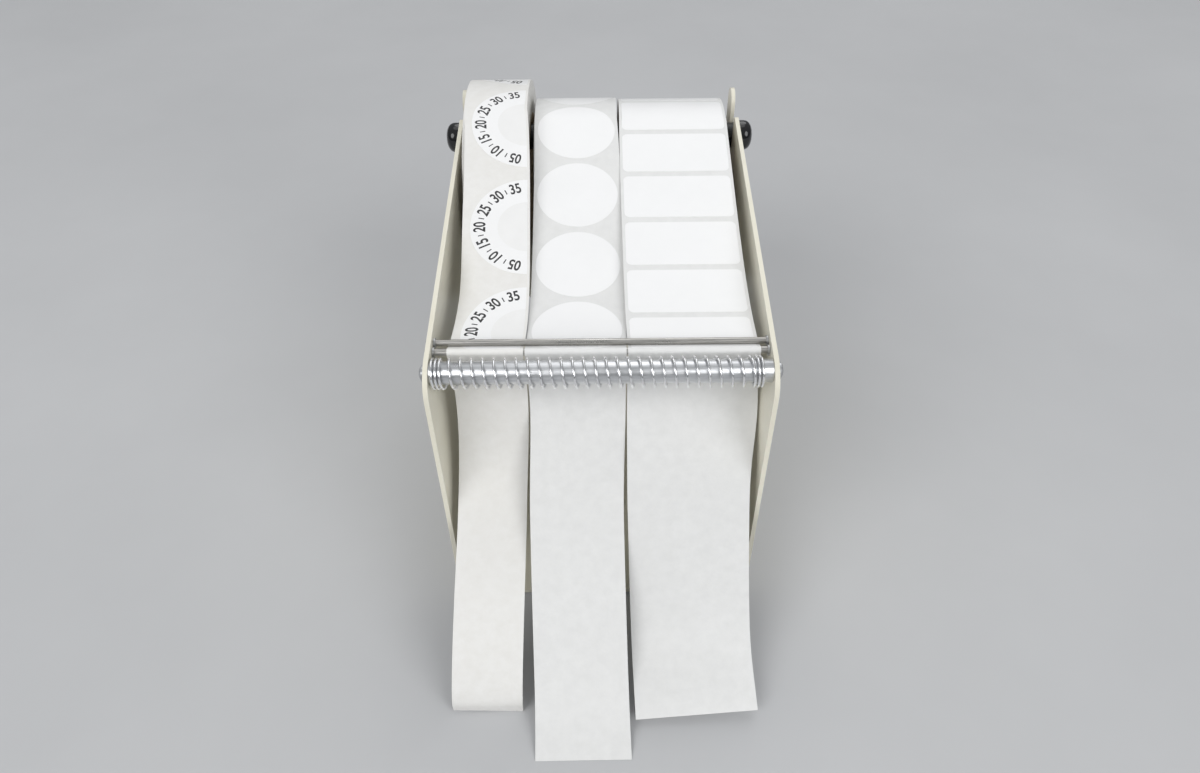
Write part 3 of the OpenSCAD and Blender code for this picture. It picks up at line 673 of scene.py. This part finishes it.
routes = {}
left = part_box("spring_bar")[0].x + LEFT_ROOM
for lane in LANES:
    routes[lane] = Route(lane, left)
    left = routes[lane].right + LANE_GAP
for lane, route in routes.items():
    bm = bmesh.new()
    count = len(route.stations)
    bmesh.ops.create_grid(bm, x_segments=ACROSS, y_segments=count - 1, size=1)
    for v in bm.verts:
        across = (v.co.x + 1) / 2
        v.co.x = route.columns[round(across * ACROSS)]
        v.co.y = route.stations[round((v.co.y + 1) / 2 * (count - 1))]
        short = route.skew * across if route.skew > 0 else route.skew * (across - 1)
        v.co.y -= short * max(0.0, (v.co.y - route.turn) / (route.length - route.turn)) ** TORN_POWER
    thick = bmesh.ops.extrude_face_region(bm, geom=bm.faces[:])["geom"]
    bmesh.ops.translate(bm, verts=[v for v in thick if isinstance(v, bmesh.types.BMVert)],
                        vec=(0, 0, -LINER_T))
    route.lay(bm)
    liner = piece(lane + "_liner_strip", bm, outer_turn[lane], None, [lane + "_liner"])
    route.place(0, ROLL_HOLD, 0)
    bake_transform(liner)


# Labels: white semi-gloss paper, die-cut on the liner. Half circles on the left stock, round ones on the
# middle stock and rectangles with rounded corners on the right stock, over the web and on round the roll.
ROLL_STEP = 0.0016
LAST_SPACE = 0.9
HALF_SIDES, DOT_SIDES, CARD_CORNER_STEPS = 96, 72, 6
HALF_R, HALF_CUT, HALF_PITCH, HALF_FIRST = 0.0262, 0.0012, 0.0599, 0.0093
DOT_R, DOT_PITCH, DOT_FIRST = 0.01905, 0.0413, 0.0112
CARD_W, CARD_L, CARD_R, CARD_PITCH, CARD_FIRST = 0.0508, 0.0254, 0.0025, 0.0286, 0.004
PAPER_SHADE, PAPER = (0.905, 0.905, 0.905, 1), (0.935, 0.935, 0.935, 1)
ALONG_WEB, ACROSS_WEB = Vector((0, 1, 0)), Vector((1, 0, 0))
face, tree, shader = finish("label_face", Specular_IOR_Level=0.5)
cloud = use(tree, clouds, Scale=35.0)
label_skin = add(tree, "Bump", {"Strength": 0.06, "Distance": 0.0002,
                                "Height": use(tree, grain, Scale=1800.0)})
join(tree, shader, Base_Color=mixed(tree, cloud, PAPER_SHADE, PAPER),
     Roughness=ranged(tree, cloud, 0.36, 0.46), Normal=label_skin.outputs[0])


def disc(bm, x, s, radius, sides):
    bmesh.ops.create_circle(bm, cap_ends=True, radius=radius, segments=sides,
                            matrix=Matrix.Translation((x, s, 0)))


def half_labels(bm, route, s):
    disc(bm, route.right - HALF_CUT, s, HALF_R, HALF_SIDES)


def dot_labels(bm, route, s):
    disc(bm, (route.left + route.right) / 2, s, DOT_R, DOT_SIDES)


def card_labels(bm, route, s):
    x = (route.left + route.right) / 2
    placed = Matrix.Translation((x, s, 0)) @ Matrix.Diagonal((CARD_W, CARD_L, 1, 1))
    card = bmesh.ops.create_grid(bm, x_segments=1, y_segments=1, size=0.5, matrix=placed)
    bmesh.ops.bevel(bm, geom=card["verts"], offset=CARD_R, offset_type="OFFSET", affect="VERTICES",
                    segments=CARD_CORNER_STEPS, profile=0.5, material=-1)


def cut(bm, way, at, **clear):
    """Cuts flat shapes on a line that crosses a way, and may clear what lies before or past it."""
    bmesh.ops.bisect_plane(bm, geom=[*bm.verts, *bm.edges, *bm.faces], dist=1e-9, plane_co=at * way,
                           plane_no=way, **clear)


def die_cut(name, lane, draw, first, pitch, lift, thick, material, nodes=(), past_rod=True):
    """Draws a row of flat shapes on a lane, thickens them and lays them on the web and round the roll."""
    route = routes[lane]
    girth = math.tau * route.roll_r
    web_end = route.crest if past_rod else route.web
    centres = []
    while route.web - first - pitch * len(centres) > -girth + pitch * LAST_SPACE:
        centres.append(route.web - first - pitch * len(centres))
    for part, start, end in (("web", 0.0, web_end), ("roll", -girth, 0.0)):
        on_web = part == "web"
        bm = bmesh.new()
        for s in centres:
            draw(bm, route, s)
        cut(bm, ALONG_WEB, end, clear_outer=True)
        cut(bm, ALONG_WEB, start, clear_inner=True)
        if lane == "left":
            cut(bm, ACROSS_WEB, route.right - HALF_CUT, clear_outer=True)
        bends = route.stations if on_web else [-ROLL_STEP * k for k in range(1, int(girth / ROLL_STEP))]
        for s in bends:
            if start < s < end:
                cut(bm, ALONG_WEB, s)
        if on_web and route.dip:
            for x in route.columns[1:-1]:
                cut(bm, ACROSS_WEB, x)
        raised = bmesh.ops.extrude_face_region(bm, geom=bm.faces[:])["geom"]
        bmesh.ops.translate(bm, verts=[v for v in raised if isinstance(v, bmesh.types.BMVert)],
                            vec=(0, 0, thick))
        bmesh.ops.translate(bm, verts=bm.verts, vec=(0, 0, lift))
        route.lay(bm)
        made = piece(f"{lane}_{name}_on_{part}", bm, material, None if on_web else lane + "_reel",
                     nodes if on_web else ())
        if on_web:
            route.place(0, ROLL_HOLD, 0)
            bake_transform(made)


for lane, draw, first, pitch in (("left", half_labels, HALF_FIRST, HALF_PITCH),
                                 ("middle", dot_labels, DOT_FIRST, DOT_PITCH),
                                 ("right", card_labels, CARD_FIRST, CARD_PITCH)):
    die_cut("labels", lane, draw, first, pitch, 0, LABEL_T, face, [lane + "_labels"])


# Print: a plain half dial in black ink on each left label, seven numbers with short ticks between them.
# They read clockwise along the label's curved side, tops outward, round a half disc of pale tint.
INK_T = 0.000006
INK_LIFT = LABEL_T + 0.000006
NUMBERS, NUMBER_STEP = 7, 5
DIAL_START, DIAL_STEP = 190, 25
NUMBER_R = 0.0216
NUMBER_H = 0.0076
NUMBER_NARROW = 0.74
NUMBER_BOLD = 0.00017
TICK_L, TICK_W = 0.0026, 0.0005
TINT_R, TINT_SIDES = 0.0136, 72
INK_BLACK, INK_GREY = (0.016, 0.016, 0.018, 1), (0.04, 0.04, 0.042, 1)
TINT_SHADE, TINT = (0.865, 0.863, 0.853, 1), (0.895, 0.893, 0.885, 1)
ink, tree, shader = finish("black_ink", Specular_IOR_Level=0.4)
cloud = use(tree, clouds, Scale=1200.0)
join(tree, shader, Base_Color=mixed(tree, cloud, INK_BLACK, INK_GREY),
     Roughness=ranged(tree, cloud, 0.4, 0.55))
tint, tree, shader = finish("pale_tint", Specular_IOR_Level=0.45)
cloud = use(tree, clouds, Scale=90.0)
join(tree, shader, Base_Color=mixed(tree, cloud, TINT_SHADE, TINT),
     Roughness=ranged(tree, cloud, 0.42, 0.5))


def tint_discs(bm, route, s):
    disc(bm, route.right - HALF_CUT, s, TINT_R, TINT_SIDES)


def number_mesh(text):
    letters = bpy.data.curves.new("number", "FONT")
    letters.body, letters.size, letters.offset = text, NUMBER_H, NUMBER_BOLD
    letters.align_x, letters.align_y = "CENTER", "CENTER"
    holder = bpy.data.objects.new("number", letters)
    mesh = bpy.data.meshes.new_from_object(holder)
    bpy.data.objects.remove(holder)
    bpy.data.curves.remove(letters)
    return mesh


def on_dial(route, s, place, wide, tall):
    """Where a mark stands on the dial of the label at s, and how far it is stretched."""
    centre = Matrix.Translation((route.right - HALF_CUT, s, 0)) @ Matrix.Diagonal((1, -1, 1, 1))
    turn = Matrix.Rotation(math.radians(DIAL_START - DIAL_STEP * place), 4, "Z")
    return centre @ turn @ Matrix.Translation((0, NUMBER_R, 0)) @ Matrix.Diagonal((wide, tall, 1, 1))


def dial(bm, route, s):
    for place in range(1, NUMBERS + 1):
        mesh = number_mesh(f"{NUMBER_STEP * place:02d}")
        mesh.transform(on_dial(route, s, place, NUMBER_NARROW, 1))
        bm.from_mesh(mesh)
        bpy.data.meshes.remove(mesh)
    for place in range(1, NUMBERS):
        bmesh.ops.create_grid(bm, x_segments=1, y_segments=1, size=0.5,
                              matrix=on_dial(route, s, place + 0.5, TICK_W, TICK_L))


for name, draw, material in (("tint", tint_discs, tint), ("print", dial, ink)):
    die_cut(name, "left", draw, HALF_FIRST, HALF_PITCH, INK_LIFT, INK_T, material,
            past_rod=False)


# Stage: a plain pale floor, softboxes in front, overhead and behind, and the camera of the photograph,
# which looks down on the nose of the dispenser from in front.
FLOOR_HALF = 12
FLOOR_SHADE, FLOOR_PALE = (0.53, 0.535, 0.545, 1), (0.57, 0.575, 0.585, 1)
SKY_LOW, SKY_HIGH = (0.15, 0.155, 0.16, 1), (0.44, 0.45, 0.46, 1)
SOFTBOX = 1.8
LAMP_AIM = Vector((0, 0, 0.08))
FOCAL_SHARE = 871.9 / 1200
SENSOR = 36
TILT, YAW, ROLL = (math.radians(a) for a in (42.271, -0.152, -0.579))
CAMERA_AT = (0.0002, -0.32553, 0.3689)
ground_floor, tree, shader = finish("pale_floor", Specular_IOR_Level=0.2)
cloud = use(tree, clouds, Scale=3.0)
join(tree, shader, Base_Color=mixed(tree, cloud, FLOOR_SHADE, FLOOR_PALE),
     Roughness=ranged(tree, cloud, 0.7, 0.85))
bm = bmesh.new()
bmesh.ops.create_grid(bm, x_segments=1, y_segments=1, size=FLOOR_HALF)
mesh = bpy.data.meshes.new("floor")
bm.to_mesh(mesh)
bm.free()
mesh.materials.append(ground_floor)
floor = bpy.data.objects.new("floor", mesh)
bpy.context.scene.collection.objects.link(floor)

world = bpy.data.worlds.new("studio")
bpy.context.scene.world = world
world.use_nodes = True
sky = world.node_tree
upness = add(sky, "SeparateXYZ", {0: add(sky, "TexCoord").outputs["Generated"]}).outputs[2]
glow = mixed(sky, ranged(sky, upness, 0.0, 1.0, -0.1, 0.9), SKY_LOW, SKY_HIGH)
sky.links.new(glow, sky.nodes["Background"].inputs["Color"])


def soft_light(name, place, power):
    lamp = bpy.data.lights.new(name, "AREA")
    lamp.shape, lamp.size, lamp.energy = "DISK", SOFTBOX, power
    made = bpy.data.objects.new(name, lamp)
    bpy.context.scene.collection.objects.link(made)
    made.location = place
    made.rotation_mode = "QUATERNION"
    made.rotation_quaternion = (LAMP_AIM - Vector(place)).to_track_quat("-Z", "Y")


soft_light("left_softbox", (-1.5, -1.8, 1.82), 32)
soft_light("right_softbox", (1.6, -1.9, 1.62), 28.8)
soft_light("top_softbox", (0, 0.8, 2.92), 7.2)
soft_light("rear_softbox", (0.3, 2.0, 2.12), 12.8)

camera = bpy.data.objects.new("camera", bpy.data.cameras.new("camera"))
bpy.context.scene.collection.objects.link(camera)
camera.data.sensor_width, camera.data.lens = SENSOR, FOCAL_SHARE * SENSOR
look = Vector((math.sin(YAW) * math.cos(TILT), math.cos(YAW) * math.cos(TILT), -math.sin(TILT)))
across = Vector((math.cos(YAW), -math.sin(YAW), 0))
upward = across.cross(look)
across, upward = (math.cos(ROLL) * across + math.sin(ROLL) * upward,
                  math.cos(ROLL) * upward - math.sin(ROLL) * across)
camera.matrix_world = (Matrix.Translation(CAMERA_AT)
                       @ Matrix((across, upward, -look)).transposed().to_4x4())
camera.data.clip_start, camera.data.clip_end = 0.01, 20
bpy.context.scene.camera = camera
bpy.context.scene.view_settings.view_transform = "Standard"
